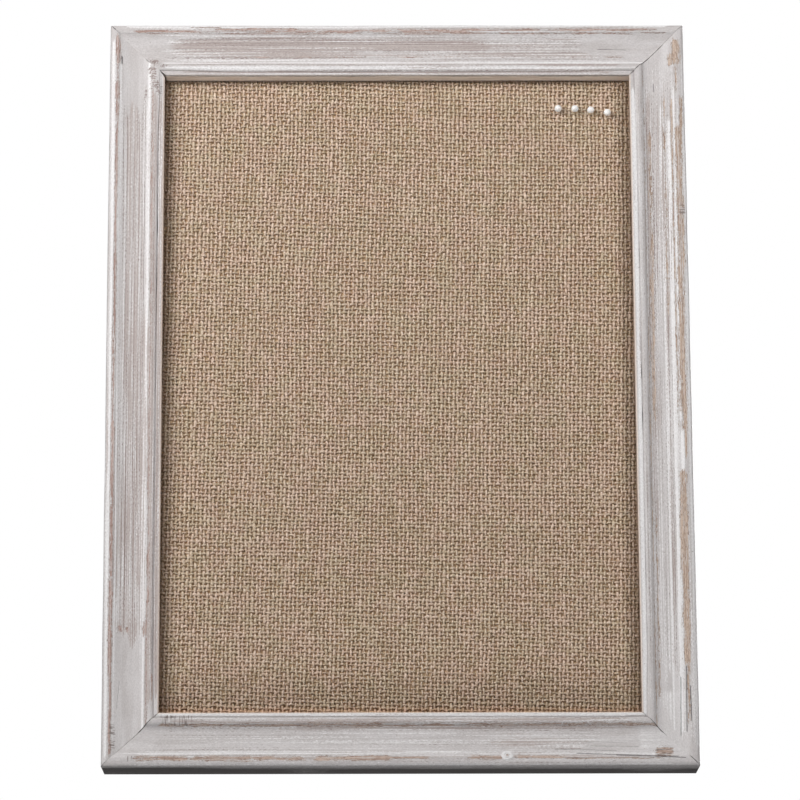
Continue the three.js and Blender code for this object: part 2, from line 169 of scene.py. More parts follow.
class Look:
    """A node material under construction."""

    def __init__(self, name, **constants):
        self.material = bpy.data.materials.new(name)
        self.material.use_nodes = True
        self.tree = self.material.node_tree
        self.shader = self.tree.nodes["Principled BSDF"]
        for socket, value in constants.items():
            self.shader.inputs[socket.replace("_", " ")].default_value = value

    def node(self, kind):
        return self.tree.nodes.new("ShaderNode" + kind)

    def set(self, socket, value):
        if isinstance(value, bpy.types.NodeSocket):
            self.tree.links.new(value, socket)
        else:
            socket.default_value = value

    def attribute(self, name):
        node = self.node("Attribute")
        node.attribute_name = name
        return node.outputs["Vector"]

    def place(self):
        return self.node("TexCoord").outputs["Object"]

    def parts(self, vector):
        node = self.node("SeparateXYZ")
        self.set(node.inputs[0], vector)
        return node.outputs

    def noise(self, vector, scale, detail, roughness, distortion=0):
        node = self.node("TexNoise")
        scales = scale if isinstance(scale, tuple) else (scale, scale, scale)
        self.set(node.inputs["Vector"], self.math("MULTIPLY", vector, scales, "VectorMath"))
        settings = {"Scale": 1.0, "Detail": detail, "Roughness": roughness, "Distortion": distortion}
        for socket, value in settings.items():
            node.inputs[socket].default_value = value
        return node.outputs[0]

    def math(self, operation, a, b, kind="Math"):
        node = self.node(kind)
        node.operation = operation
        self.set(node.inputs[0], a)
        self.set(node.inputs[1], b)
        return node.outputs[0]

    def weigh(self, *terms):
        """The sum of (socket, weight, middle) terms, each counted from its middle: 0.5 if not given."""
        total = 0.0
        for socket, weight, *middle in terms:
            centred = self.math("SUBTRACT", socket, *(middle or [0.5]))
            total = self.math("ADD", self.math("MULTIPLY", centred, weight), total)
        return total

    def step(self, value, low, high, to_low=0.0, to_high=1.0):
        node = self.node("MapRange")
        node.interpolation_type = "SMOOTHSTEP"
        for socket, number in zip(node.inputs, (value, low, high, to_low, to_high)):
            self.set(socket, number)
        return node.outputs[0]

    def mix(self, factor, a, b, blend="MIX"):
        node = self.node("Mix")
        node.data_type = "RGBA"
        node.blend_type = blend
        for index, value in ((0, factor), (6, a), (7, b)):
            self.set(node.inputs[index], value if not isinstance(value, tuple) else (*value, 1.0))
        return node.outputs[2]

    def finish(self, colour, roughness, height, relief):
        bump = self.node("Bump")
        bump.inputs["Distance"].default_value = relief
        self.set(bump.inputs["Height"], height)
        looks = {"Base Color": colour, "Roughness": roughness, "Normal": bump.outputs[0]}
        for socket, value in looks.items():
            self.set(self.shader.inputs[socket], value)
        return self.material


def dress(piece, material, slot, *replaced):
    piece.data.materials.clear()
    piece.data.materials.append(material)
    if piece.get("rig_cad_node") is None:
        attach(piece, "board")
    if replaced:
        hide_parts(*replaced)
    return piece


# Materials

WHITE_PAINT = (0.82, 0.81, 0.815)
GREY_PAINT = (0.545, 0.515, 0.51), (0.63, 0.605, 0.605)
STAIN = (0.47, 0.405, 0.385), (0.38, 0.315, 0.295)
BRUSH_LINE = (0.23, 0.175, 0.16)
GRIT_TONE = (0.88, 0.87, 0.87), (1.08, 1.08, 1.08)
PINE = (0.43, 0.325, 0.255), (0.61, 0.485, 0.395)
ROSY_PINE = (0.38, 0.265, 0.235), (0.56, 0.43, 0.395)
PINE_VEIN = (0.24, 0.165, 0.13)
LEFT_ON_PAINT = (0.64, 0.6, 0.585)
WORN_RIM = (0.23, 0.165, 0.145)
CRUST = (0.25, 0.19, 0.175)
# The lip's wood, and the dark brown painted as shade on the sight walls of the left, right and bottom rails
LIP_WOOD_AND_WALL_SHADE = (0.74, 0.61, 0.515), (0.3, 0.2, 0.145)
# The top rail's sight wall, painted bright as if lit by light bounced from below
LIT_WALL_WOOD = (0.97, 0.87, 0.775), (0.82, 0.7, 0.61)
TOOL_MARK = (0.22, 0.18, 0.165)
# Near black for dark scratches, soiling and painted shade
DIRT_AND_SHADE = (0.024, 0.019, 0.018)
PAINT_RELIEF = 0.00016
# Noise in the paint and wood: scale along the rail, across it and from rail to rail, detail, roughness
WOOD_MARKS = dict(
    chip=((0.4, 1.9, 1), 4, 0.7),
    rub=((0.09, 1.7, 1), 4, 0.65),
    streak=((0.014, 1.25, 1), 3, 0.6),
    hair=((0.0045, 1.8, 1), 2, 0.5),
    pore=((0.75, 2.6, 1), 2, 0.6),
    cloud=((0.022, 0.17, 1), 3, 0.55),
    grit=((0.8, 2.2, 1), 3, 0.8),
    nick=((1.6, 0.1, 1), 2, 0.5),
    crust=((1.2, 0.55, 1), 3, 0.65),
)


def brushed_paint(look, marks, live, thin, thick):
    """Greyish paint with white ridges, a stain where it is thin, and dark brush lines."""
    ridge = look.weigh((marks.hair, -1), (marks.streak, -0.4), (marks.pore, -0.5))
    ridge = look.math("ADD", look.math("MULTIPLY", ridge, live), look.math("MULTIPLY", thick, 0.3))
    paint = look.mix(look.step(marks.cloud, 0.35, 0.65), *GREY_PAINT)
    # White where the paint is thick, which also paints highlights along the beads and lips and light at the
    # lower corners
    paint = look.mix(look.step(thick, 0, 0.9), paint, WHITE_PAINT)
    paint = look.mix(look.step(ridge, 0.105, 0.145, 0, 0.9), paint, WHITE_PAINT)
    veil = look.weigh((marks.streak, 1.2), (marks.chip, 0.2), (marks.pore, 0.4))
    veil = look.math("ADD", look.math("MULTIPLY", veil, live), look.math("MULTIPLY", thin, 0.5))
    stain = look.mix(look.step(marks.hair, 0.42, 0.58), *STAIN)
    colour = look.mix(look.step(veil, 0.13, 0.2, 0, 0.85), paint, stain)
    line = look.math("MULTIPLY", look.weigh((marks.hair, 1), (marks.pore, 0.6), (marks.chip, 0.2)), live)
    line = look.math("ADD", line, look.weigh((thin, 0.08, 0), (thick, -0.2, 0)))
    colour = look.mix(look.step(line, 0.15, 0.185, 0, 0.82), colour, BRUSH_LINE)
    tooth = look.mix(look.step(marks.grit, 0.35, 0.65), *GRIT_TONE)
    return look.mix(1, colour, tooth, "MULTIPLY")


def rubbed_wood(look, marks, colour, wear, rosy):
    """Bare pine where the paint is rubbed through, inside a white and a dark rim; and how bare it is."""
    rubbed = look.weigh(
        (wear, 1, 0), (marks.rub, 2.2), (marks.chip, 1.2), (marks.streak, 0.8), (marks.pore, 0.9))
    bare = look.step(rubbed, 0.36, 0.42)
    colour = look.mix(look.step(rubbed, 0.2, 0.32, 0, 0.5), colour, WHITE_PAINT)
    year_ring = look.step(marks.streak, 0.42, 0.58)
    pine = look.mix(rosy, look.mix(year_ring, *PINE), look.mix(year_ring, *ROSY_PINE))
    pine = look.mix(look.step(marks.chip, 0.52, 0.59, 0, 0.75), pine, PINE_VEIN)
    left_on = look.weigh((marks.rub, -1), (marks.hair, -0.7), (marks.chip, -0.4))
    pine = look.mix(look.step(left_on, 0.06, 0.11, 0, 0.8), pine, LEFT_ON_PAINT)
    colour = look.mix(bare, colour, pine)
    outside, inside = look.step(rubbed, 0.33, 0.39, 0, 0.36), look.step(rubbed, 0.43, 0.5, 0, 0.36)
    return look.mix(look.math("SUBTRACT", outside, inside), colour, WORN_RIM), bare


def sight_edge(look, marks, colour, cream_and_wall_shading):
    """Wood that shows on the lip, and the wall below it: painted light on the top rail, painted shade in
    dark brown on the others.
    """
    lip = look.mix(look.step(cream_and_wall_shading, 0.55, 0.7), *LIP_WOOD_AND_WALL_SHADE)
    wall = look.mix(look.step(marks.rub, 0.44, 0.56), *LIT_WALL_WOOD)
    edge = look.mix(look.step(cream_and_wall_shading, 0.85, 1), lip, wall)
    return look.mix(look.step(cream_and_wall_shading, 0, 0.8), colour, edge)


def whitewash():
    """Thin white paint brushed over pine, rubbed through along the edges, with painted shade and light in
    places.
    """
    look = Look("whitewashed_pine", Specular_IOR_Level=0.35)
    grain = look.attribute("grain")
    marks = {mark: look.noise(grain, *values) for mark, values in WOOD_MARKS.items()}
    marks = SimpleNamespace(**marks)
    # Wear, thin paint, and dark scratches, soiling and painted shade
    wear, thin, dirt_and_shade = look.parts(look.attribute("paint"))
    # Lip tone with the sight wall's painted light and painted shade; thick paint; tool marks
    cream_and_wall_shading, thick, hatch = look.parts(look.attribute("tint"))
    live, crusty, rosy = look.parts(look.attribute("calm"))
    colour = brushed_paint(look, marks, live, thin, thick)
    colour, bare = rubbed_wood(look, marks, colour, wear, rosy)
    crumbs = look.weigh((marks.crust, 1), (crusty, 0.27, 0))
    colour = look.mix(look.step(crumbs, 0.19, 0.24, 0, 0.85), colour, CRUST)
    colour = sight_edge(look, marks, colour, cream_and_wall_shading)
    scored = look.weigh((marks.nick, 1), (hatch, 0.35, 0))
    colour = look.mix(look.step(scored, 0.35, 0.43, 0, 0.88), colour, TOOL_MARK)
    # Dark scratches, soiling and painted shade: in the quirk, along the outer edge, in the groove under the
    # lip and on the outer sides
    dirt_and_shade_mix = look.step(look.weigh((dirt_and_shade, 1, 0), (marks.chip, 0.4)), 0.22, 0.85)
    colour = look.mix(dirt_and_shade_mix, colour, DIRT_AND_SHADE)
    roughness = look.weigh((look.step(bare, 0, 1, 0.48, 0.7), 1, 0), (dirt_and_shade_mix, 0.3, 0))
    height = look.weigh((bare, -0.7, 0), (marks.hair, -0.9), (marks.streak, -0.6),
                        (marks.chip, 0.9), (dirt_and_shade_mix, -0.8, 0))
    return look.finish(colour, roughness, height, PAINT_RELIEF)


JUTE_SHADOW = (0.2, 0.105, 0.05)
JUTE_SHINE = (0.97, 0.9, 0.8)
# Painted shade where yarns dip under the crossing yarns and along their sides
JUTE_HOLLOW_SHADE = (0.46, 0.27, 0.135)
# Colour of the painted shade on the cloth along the frame
EDGE_SHADE_COLOUR = (0.1, 0.05, 0.025)
# Painted warm bounce light from the bottom rail's lip onto the cloth
PAINTED_WARM_BOUNCE = (1.22, 0.99, 0.84)
FIBRE_RELIEF = 0.00025


def jute(name, straw, rose):
    """Twisted jute yarn, uneven in tone from yarn to yarn and in patches, with painted shade in its dips
    and along the frame and painted warm bounce light near the bottom rail.
    """
    look = Look(name, Specular_IOR_Level=0.2)
    yarn = look.attribute("yarn")
    place = look.place()
    tone = look.parts(yarn)[1]
    # Painted shade in the dips, painted shade along the frame, and painted warm bounce light near the
    # bottom rail
    low, edge_shade, warm = look.parts(look.attribute("hollow"))
    patch = look.noise(place, 110, 3, 0.6)
    fleck = look.noise(place, 520, 2, 0.6)
    fibre = look.noise(yarn, (0.35, 31, 1.5), 3, 0.65)
    hue = look.step(look.weigh((patch, 1.5), (tone, 0.15), (fleck, 1)), -0.3, 0.3)
    colour = look.mix(hue, straw, rose)
    shade = look.step(look.weigh((fibre, 1.2), (tone, 0.06), (fleck, 1.3)), -0.42, 0.42)
    colour = look.mix(shade, look.mix(0.4, colour, JUTE_SHADOW), look.mix(0.42, colour, JUTE_SHINE))
    # Painted shade in the weave's dips and along the yarns' sides
    colour = look.mix(look.math("MULTIPLY", low, 0.75), colour, JUTE_HOLLOW_SHADE)
    # Painted shade on the cloth along the frame
    colour = look.mix(edge_shade, colour, EDGE_SHADE_COLOUR)
    # Painted warm bounce light on the cloth just above the bottom rail
    colour = look.mix(warm, colour, PAINTED_WARM_BOUNCE, "MULTIPLY")
    return look.finish(colour, 0.85, fibre, FIBRE_RELIEF)


def ground_cloth():
    look = Look("burlap_shadow", Specular_IOR_Level=0.1)
    fuzz = look.noise(look.place(), 700, 3, 0.6)
    colour = look.mix(fuzz, (0.72, 0.52, 0.325), (0.9, 0.69, 0.46))
    return look.finish(colour, 0.95, fuzz, 0.0003)


def pearl():
    look = Look("pearl", Specular_IOR_Level=0.6, Coat_Weight=0.5, Coat_Roughness=0.12,
                Sheen_Weight=0.3, Sheen_Roughness=0.35,
                Subsurface_Weight=0.5, Subsurface_Scale=0.0015, Subsurface_Radius=(1, 0.9, 0.85))
    cloud = look.noise(look.place(), 420, 2, 0.5)
    colour = look.mix(look.step(cloud, 0.4, 0.6), (0.87, 0.85, 0.845), (0.95, 0.94, 0.93))
    return look.finish(colour, look.step(cloud, 0.3, 0.7, 0.22, 0.32), cloud, 0.00002)


def metal(name, bright, dull, roughness):
    look = Look(name, Metallic=1)
    place = look.place()
    cloud = look.noise(place, 260, 3, 0.6)
    scratch = look.noise(place, (150, 1500, 2600), 2, 0.6)
    colour = look.mix(look.step(cloud, 0.35, 0.7), bright, dull)
    handled = look.weigh((cloud, 1), (scratch, 0.6))
    rough = look.step(handled, -0.4, 0.4, roughness - 0.1, roughness + 0.12)
    return look.finish(colour, rough, scratch, 0.00002)


def pressed_fibre(name, light, dark, grain, roughness):
    look = Look(name, Specular_IOR_Level=0.25)
    place = look.place()
    cloud = look.noise(place, 14, 3, 0.55)
    fibre = look.noise(place, grain, 4, 0.7, 1.2)
    tone = look.step(look.weigh((cloud, 0.6), (fibre, 1.1)), -0.4, 0.4)
    return look.finish(look.mix(tone, dark, light), roughness, fibre, 0.00015)


def rubber():
    look = Look("bumper_rubber", Specular_IOR_Level=0.3)
    dust = look.noise(look.place(), 900, 3, 0.65)
    colour = look.mix(look.step(dust, 0.45, 0.75), (0.022, 0.021, 0.02), (0.06, 0.057, 0.054))
    return look.finish(colour, look.step(dust, 0.3, 0.7, 0.65, 0.9), dust, 0.00006)


# Moulding


def moulding_outline():
    """Points round the section: across, depth, distance round, and 1 on the raw back."""
    back = RAIL_DEPTH - BACK_GAP
    # A curve's control point or None for a line, end, pitch (finer where it shows), and 1 on the raw back
    steps = [
        ((0.1, 0.2), (3.4, 0), 0.25, 0), (None, (4.3, 0), 0.4, 0), ((5, 0), (5.6, 0.6), 0.2, 0),
        ((11, 3.5), (20, 3.35), 0.42, 0), ((22.9, 3.3), (24.1, 1.6), 0.28, 0),
        ((24.8, 0.5), (26.4, 0.45), 0.25, 0), ((27.9, 0.45), (28.4, 1.1), 0.25, 0),
        (None, (QUIRK, 1.7), 0.25, 0), (None, (29.1, 1.35), 0.25, 0), (None, (30.6, 1.2), 0.35, 0),
        ((31.45, 1.2), (RAIL_WIDTH, 1.9), 0.2, 0), (None, (RAIL_WIDTH, LIP_GROOVE - 0.8), 0.3, 0),
        (None, (GROOVE_WALL, LIP_GROOVE - 0.4), 0.3, 0), (None, (GROOVE_WALL, LIP_GROOVE + 0.4), 0.4, 0),
        (None, (RAIL_WIDTH, LIP_GROOVE + 0.8), 0.3, 0), (None, (RAIL_WIDTH, LEDGE_DEPTH), 0.8, 0),
        (None, (RABBET_WALL, LEDGE_DEPTH), 3, 1), (None, (RABBET_WALL, back), 3, 1),
        (None, (1.6, back), 2.5, 1), ((1.4, back), (1.38, RAIL_DEPTH - 0.4), 0.2, 0),
        (None, (0, OUTER_ROUND), 1.2, 0),
    ]
    here = np.array([0.0, OUTER_ROUND])
    points, raw = [here], [0]
    for control, end, pitch, bare in steps:
        end = np.array(end, float)
        middle = (here + end) / 2 if control is None else np.array(control, float)
        length = np.linalg.norm(middle - here) + np.linalg.norm(end - middle)
        count = max(2, round(length / pitch))
        for t in np.arange(1, count + 1) / count:
            points.append((1 - t) ** 2 * here + 2 * t * (1 - t) * middle + t * t * end)
            raw.append(bare)
        here = end
    points = np.array(points[:-1])
    around = np.concatenate([[0], np.cumsum(np.linalg.norm(np.diff(points, axis=0), axis=1))])
    return points[:, 0], points[:, 1], around, np.array(raw[:-1])


# Some of these tables paint light and shade as well: highlights in the thick paint, shade in the quirk and
# on the outer edge and side, and light and shade on the sight walls
# What brush, sander and years left on each rail, placed against the photo. Places run along the rail
# from its left or upper end and across from its outer edge.

# Edges rubbed to the wood: start, end, across, half width, strength
RUBBED = dict(top=[
    (14, 54, 4.2, 1, 0.72), (46, 64, 1.8, 0.8, 0.54), (60, 108, 3.2, 1, 0.56), (90, 166, 4.4, 0.8, 0.6),
    (166, 206, 4, 1.1, 0.72), (206, 316, 3.4, 0.9, 0.6), (20, 320, 5.4, 0.5, 0.45),
    (70, 300, 19.2, 0.4, 0.4),
], left=[
    (6, 25, 4.6, 1.3, 0.85), (25, 36, 4.6, 0.5, 0.5), (35, 47, 4.6, 1.2, 0.8), (47, 205, 4.4, 0.9, 0.72),
    (205, 245, 4.3, 0.7, 0.58), (245, 340, 4.3, 1, 0.8), (340, 398, 4.3, 1.2, 0.85),
    (398, 444, 4.6, 0.9, 0.72), (40, 430, 24.6, 1, 0.4), (318, 356, 24.8, 1.1, 0.6),
    (396, 412, 27.8, 0.8, 0.6), (367, 371, 10, 1.5, 0.78), (367.5, 371, 13.5, 1.2, 0.7),
    (364, 373, 23.8, 2.2, 0.6),
], right=[
    (10, 25, 4.6, 2.4, 1), (18, 25, 7.6, 1.6, 0.9), (25, 44, 4.8, 1, 0.55), (45, 65, 2.2, 1.1, 0.8),
    (64, 152, 3.9, 1.9, 0.88), (150, 242, 4.6, 1.8, 0.9), (236, 252, 4, 1.2, 0.85),
    (248, 268, 3.8, 0.6, 0.75), (276, 390, 5.7, 1.9, 0.92), (390, 425, 5.4, 1, 0.6),
    (46, 250, 7.7, 0.6, 0.55), (290, 340, 7.8, 0.6, 0.5), (45, 180, 11.9, 0.8, 0.45),
    (66, 200, 20.4, 1.2, 0.52), (156, 245, 21, 1.2, 0.58), (300, 410, 21.4, 0.9, 0.42),
    (30, 430, 23.4, 0.6, 0.36),
], bottom=[
    (18, 48, 4.5, 1.5, 0.8), (50, 83, 4.4, 1.7, 0.8), (83, 112, 4.4, 1.2, 0.74), (118, 160, 4.6, 1.5, 0.8),
    (160, 181, 4.6, 0.8, 0.65), (202, 222, 4.8, 1.2, 0.75), (228, 236, 5.2, 1.4, 0.75),
    (236, 256, 4.8, 1, 0.65), (256, 316, 4, 0.6, 0.5), (306, 315, 8.4, 2.8, 1.05),
    (30, 312, 24.2, 1.1, 0.46), (60, 200, 24, 0.7, 0.6),
])
# Thin paint, in the same form
THIN = dict(top=[
    (36, 132, 11.5, 4.4, 0.6), (116, 220, 12.4, 3.4, 0.6), (210, 262, 12, 4, 0.34),
    (40, 150, 18, 2.4, 0.42), (150, 322, 18, 1.6, 0.3), (40, 150, 15.4, 1.8, 0.44),
    (30, 322, 25.2, 0.8, 0.4), (20, 322, 29.2, 0.7, 0.5),
], left=[
    (30, 430, 11.8, 1.8, 0.45), (30, 440, 16, 4, 0.35), (180, 350, 16, 9, 0.42), (30, 440, 25.6, 1.8, 0.6),
    (30, 440, 29.8, 0.9, 0.6), (364, 373, 15, 8, 0.4),
], right=[
    (40, 430, 12.4, 1.8, 0.45), (50, 170, 13, 7, 0.4), (40, 260, 21, 2.4, 0.6), (250, 430, 21.4, 2, 0.4),
], bottom=[
    (20, 320, 4.6, 2, 0.5), (20, 312, 23.4, 1.6, 0.7), (60, 320, 9, 2, 0.2), (20, 320, 25.6, 2.6, 0.62),
    (215, 312, 13, 6, 0.46),
])
# Thick white paint, in the same form; the bands along the beads and lips are also painted highlights, and
# the broad patches at the lower corners are painted light
THICK_PAINT_AND_HIGHLIGHTS = dict(top=[
    (10, 320, 1, 0.7, 0.9), (30, 320, 23.4, 0.8, 0.8), (30, 320, 27, 0.8, 0.4), (30, 320, 6.8, 0.6, 0.1),
], left=[
    (10, 445, 2.2, 0.8, 0.75), (20, 440, 6.2, 0.7, 0.45), (20, 430, 22.6, 0.8, 0.7),
    (420, 458, 15, 12, 0.2),
], right=[
    (20, 440, 1.2, 0.7, 0.5), (40, 246, 6.4, 0.5, 0.7), (60, 430, 9.4, 1.1, 0.9), (252, 276, 5.8, 0.9, 0.9),
    (50, 430, 13.6, 0.9, 0.5), (40, 440, 29.6, 0.9, 0.9), (350, 440, 14, 6, 0.12), (405, 458, 15, 12, 0.36),
], bottom=[
    (30, 300, 30.4, 0.8, 0.8), (10, 320, 7.8, 0.7, 0.4), (215, 318, 13, 6, 0.14), (40, 140, 14, 4, 0.1),
    (296, 338, 15, 12, 0.36), (-8, 30, 15, 12, 0.22),
])
# Smooth stretches without brush lines, in the same form
SMOOTH = dict(
    top=[(-30, 34, 13, 8, 0.7), (276, 360, 13, 8, 0.7)],
    left=[(-30, 52, 13, 8, 0.85), (374, 480, 14, 8, 0.85)],
    right=[(396, 480, 16, 8, 0.7)],
    bottom=[(272, 360, 14, 8, 0.7), (-30, 30, 14, 8, 0.6)],
)
# Dark scratches: start along and across, end along and across, half width, strength
SCRATCHES = dict(top=[
    (281, 14.4, 297, 14.7, 0.3, 0.7), (34, 8.8, 96, 9, 0.26, 0.46), (40, 10.4, 134, 10.6, 0.28, 0.5),
    (46, 12.2, 110, 12.4, 0.26, 0.48), (38, 14, 140, 13.8, 0.28, 0.48), (52, 15.8, 128, 16, 0.26, 0.46),
    (44, 18.4, 104, 18.3, 0.26, 0.42), (112, 11.4, 196, 11.6, 0.24, 0.42),
    (124, 14.8, 230, 14.9, 0.24, 0.4), (148, 9.4, 262, 9.7, 0.2, 0.36), (190, 12.9, 300, 13, 0.2, 0.36),
    (200, 16.4, 290, 16.3, 0.2, 0.34), (62, 5.6, 118, 6.7, 0.22, 0.46), (118, 6.7, 170, 6.9, 0.18, 0.38),
], left=[
    (19.5, 6.8, 24, 6.9, 0.6, 0.75), (400, 9.6, 416, 8.4, 0.25, 0.6),
], bottom=[
    (250, 10.2, 284, 9, 0.34, 0.6), (262, 7.4, 318, 5.2, 0.36, 0.75), (268, 12.2, 296, 11.4, 0.32, 0.55),
    (284, 6, 322, 4.4, 0.34, 0.7), (262, 14.6, 290, 13.8, 0.3, 0.5), (200, 8.6, 246, 8.2, 0.26, 0.42),
    (236, 12.8, 266, 12.4, 0.26, 0.42), (296, 9.8, 318, 8.2, 0.28, 0.5), (306, 9.4, 310, 9.7, 0.5, 0.62),
    (309, 7.6, 314, 7.3, 0.45, 0.66), (307, 6.4, 311, 6.2, 0.4, 0.6), (311, 9.8, 315, 9.4, 0.4, 0.6),
], right=[
    (398, 9.6, 432, 10.2, 0.34, 0.75), (392, 6.4, 430, 6.9, 0.36, 0.8), (404, 4.6, 424, 4.3, 0.36, 0.75),
    (36.5, 17.6, 41, 17.4, 0.4, 0.7),
])
# Lumps of thick paint: along, across, half length, half width, height
LUMPS = dict(left=[
    (27.5, 24, 3.2, 3.4, 0.3), (32, 25, 3.6, 3, 0.36), (38, 26, 4.5, 3, 0.42), (43, 20.8, 5.5, 1.3, 0.42),
    (41, 28.6, 6, 1.4, 0.38),
], top=[
    (25.5, 22.4, 3.2, 2.8, 0.36), (31, 25.6, 3, 1.6, 0.34),
])
# Tool marks across the grain: start, end, across from, across to, strength
HATCHES = dict(
    bottom=[(32, 51, 23.5, 30, 1), (10, 46, 2.5, 6.5, 0.78)],
    left=[(424, 441, 4, 8, 1)],
    right=[(112, 120, 1, 5, 1)],
)
# Width of the open crack at each mitre, by the distance across the rail
CRACKS = dict(top_left=[
    (0, 0.25), (4, 0.2), (6, 0.02), (20, 0.01), (21.5, 0.16), (22.5, 0.12), (24, 0.01), (28, 0.03),
    (30, 0.4), (31.5, 1.1),
], top_right=[
    (0, 0.1), (5, 0.12), (11, 0.05), (14, 0.25), (22, 0.3), (29, 0.35), (31.5, 0.1),
], bottom_right=[
    (0, 0.2), (5, 0.3), (7, 0.03), (18, 0.03), (20, 0.28), (27, 0.25), (31.5, 0.05),
], bottom_left=[
    (0, 0.3), (3, 0.12), (12, 0.08), (17, 0.2), (22, 0.3), (29, 0.25), (31.5, 0.1),
])
# Knots under the paint: along, across, radius
KNOTS = dict(bottom=(223.6, 5.9, 3))
# Quirks filled with paint: fully up to the first place along, and no more from the second
FILLED_QUIRK = dict(left=(45, 95))
# How thinly the whole rail is painted; how pale its lip is; its sight wall, 1 for painted light and 0.7 for
# painted shade; and how rosy its bare wood is
THINNESS = dict(top=0.05, left=0.02, right=-0.12, bottom=-0.2)
SIGHT_WALL_SHADING = dict(top=1, left=0.7, right=0.7, bottom=0.7)
LIP_CREAM = dict(top=0.15, left=0.48, right=0.45, bottom=0.54)
ROSY = dict(top=0.9, left=1, right=0.1, bottom=0.4)
# How dark the quirk (soiling and painted shade), the outer edge (painted shade) and the outer side (soiling
# and painted shade) are
QUIRK_DIRT_AND_SHADE = dict(top=0.02, left=0.32, right=0.22, bottom=0.12)
EDGE_SHADE_LINE = dict(top=0, left=0.42, right=0.15, bottom=0.5)
SIDE_GRIME_AND_SHADE = dict(top=0.36, left=0.4, right=0.4, bottom=1)
# How far the hand-cut quirk strays from its place, away from the mitres
QUIRK_STRAY = dict(top=0.7, left=-0.6, right=-0.9, bottom=0)
# Wear where nothing was rubbed, and on wood that was never painted
UNRUBBED = -0.3
RAW_WOOD = 2


def streaks(strokes, u, v, longest_fade=3):
    """How strongly the strokes of a table cover each point."""
    total = np.zeros_like(u)
    for start, end, across, half, strength in strokes:
        fade = min(longest_fade, (end - start) / 4)
        total = np.maximum(total, strength * window(u, start, end, fade) * bell(v, across, half))
    return total


